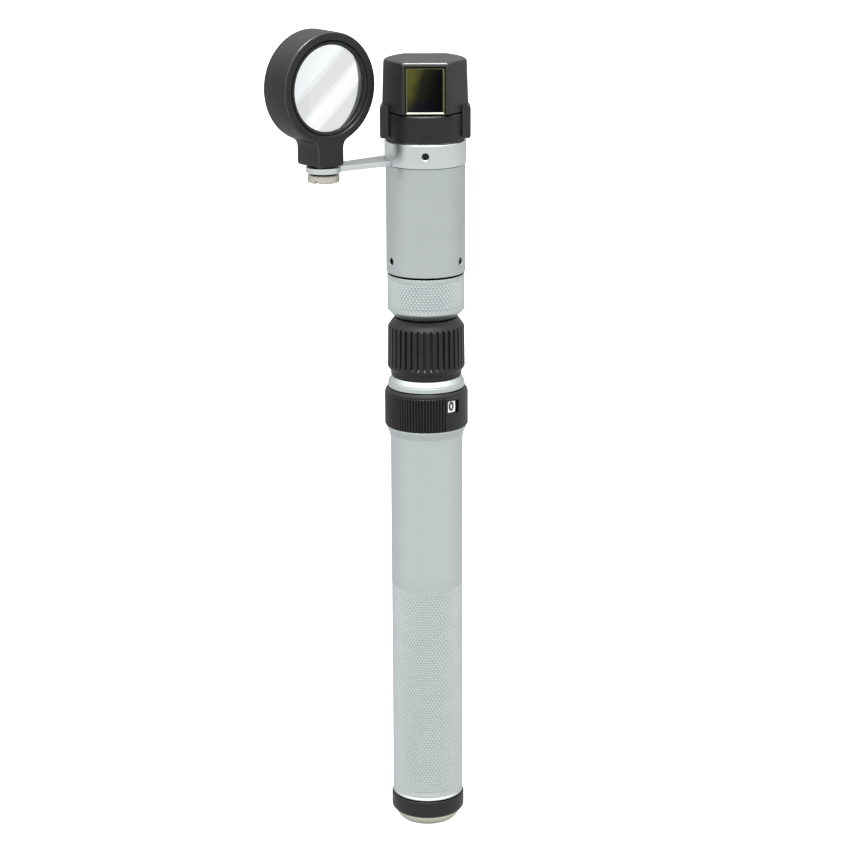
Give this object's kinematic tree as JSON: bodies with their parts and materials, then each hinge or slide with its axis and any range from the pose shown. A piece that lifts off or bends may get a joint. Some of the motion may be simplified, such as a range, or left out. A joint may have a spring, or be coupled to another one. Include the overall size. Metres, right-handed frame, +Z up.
{
  "type": "hand-held slit lamp",
  "caption": "Hand-held slit lamp: lamp head with slit ring, prism and clip-on filter cap, a loupe on a swivel arm, on a slim battery handle with a rheostat ring.",
  "frame": {"origin": "centre of the flat base under the handle", "axes": "+Z up the handle to the head, -Y the way the light leaves the head, +X to the right seen from the front"},
  "size_m": [0.052, 0.0358, 0.2173],
  "materials": {
    "satin_silver": "satin anodised",
    "black_plastic": "satin black",
    "nickel": "satin nickel",
    "brass": "turned",
    "spring_steel": "bright",
    "optical_glass": "polished",
    "filter_glass": "polished, coated",
    "cell_jacket": "printed film",
    "white_plate": "matt"
  },
  "bodies": {
    "handle": {"handle_tube": "satin_silver", "handle_neck": "satin_silver", "contact_insulator": "black_plastic", "contact_pin": "brass", "battery_lower": "cell_jacket", "battery_upper": "cell_jacket", "rheostat_track": "brass"},
    "rheostat": {"rheostat_ring": "black_plastic", "indicator_plate": "white_plate", "rheostat_wiper": "spring_steel"},
    "spring_seat": {"spring_plate": "spring_steel", "battery_spring": "spring_steel"},
    "base": {"base_cap": "satin_silver", "foot_ring": "black_plastic"},
    "head": {"head_tube": "satin_silver", "locking_sleeve": "black_plastic", "head_plug": "brass", "lamp_base": "nickel", "lamp_bulb": "optical_glass", "lamp_filament": "spring_steel", "slit_carrier": "black_plastic", "objective_ring": "black_plastic", "prism_housing": "black_plastic", "prism_cage": "black_plastic", "prism": "optical_glass", "condenser_lens": "optical_glass", "objective_lens": "optical_glass", "tube_screw_1": "spring_steel", "tube_screw_2": "spring_steel", "tube_screw_3": "spring_steel"},
    "slit_control": {"slit_ring": "satin_silver", "cam_disc": "brass", "drive_pin_1": "spring_steel", "drive_pin_2": "spring_steel"},
    "slit_left": {"slit_blade_left": "spring_steel"},
    "slit_right": {"slit_blade_right": "spring_steel"},
    "collar": {"loupe_collar": "satin_silver", "collar_screw": "spring_steel", "loupe_arm": "satin_silver"},
    "loupe": {"loupe_frame": "black_plastic", "loupe_lens": "optical_glass", "loupe_retainer": "black_plastic"},
    "clamp": {"clamp_washer": "black_plastic"},
    "clamp_screw": {"thumbscrew": "nickel"},
    "filter": {"filter_cap": "black_plastic", "filter_glass": "filter_glass"}
  },
  "joints": [
    {"name": "rheostat_turn", "type": "hinge", "parent": "handle", "child": "rheostat", "pos_m": [0, 0, 0.117], "axis": [0, 0, 1], "range_deg": [0, 120]},
    {"name": "base_travel", "type": "slide", "parent": "handle", "child": "spring_seat", "axis": [0, 0, -1], "range_m": [0, 0.003], "deforming": ["battery_spring"]},
    {"name": "base_turn", "type": "hinge", "parent": "spring_seat", "child": "base", "pos_m": [0, 0, 0.0027], "axis": [0, 0, -1], "range_deg": [0, 1080]},
    {"name": "head_twist", "type": "hinge", "parent": "handle", "child": "head", "pos_m": [0, 0, 0.1253], "axis": [0, 0, 1], "range_deg": [0, 40]},
    {"name": "slit_turn", "type": "hinge", "parent": "head", "child": "slit_control", "pos_m": [0, 0, 0.1468], "axis": [0, 0, 1], "range_deg": [0, 90]},
    {"name": "slit_left_slide", "type": "slide", "parent": "head", "child": "slit_left", "axis": [-1, 0, 0], "range_m": [0, 0.0018]},
    {"name": "slit_right_slide", "type": "slide", "parent": "head", "child": "slit_right", "axis": [1, 0, 0], "range_m": [0, 0.0018]},
    {"name": "collar_swivel", "type": "hinge", "parent": "head", "child": "collar", "pos_m": [0, 0, 0.1848], "axis": [0, 0, 1], "continuous": true},
    {"name": "loupe_swivel", "type": "hinge", "parent": "collar", "child": "loupe", "pos_m": [-0.02575, -0.0132, 0.1832], "axis": [0, 0, 1], "continuous": true},
    {"name": "clamp_travel", "type": "slide", "parent": "collar", "child": "clamp", "axis": [0, 0, -1], "range_m": [0, 0.0005]},
    {"name": "clamp_turn", "type": "hinge", "parent": "clamp", "child": "clamp_screw", "pos_m": [-0.02575, -0.0132, 0.1801], "axis": [0, 0, -1], "range_deg": [0, 360]},
    {"name": "filter_lift", "type": "slide", "parent": "head", "child": "filter", "axis": [0, 0, 1], "range_m": [0, 0.02]}
  ],
  "couplings": [
    {"joint": "base_turn", "follows": "base_travel", "rad_per_m": 6283.2},
    {"joint": "slit_left_slide", "follows": "slit_turn", "m_per_rad": 0.0011459},
    {"joint": "slit_right_slide", "follows": "slit_turn", "m_per_rad": 0.0011459},
    {"joint": "clamp_turn", "follows": "clamp_travel", "rad_per_m": 12566}
  ]
}
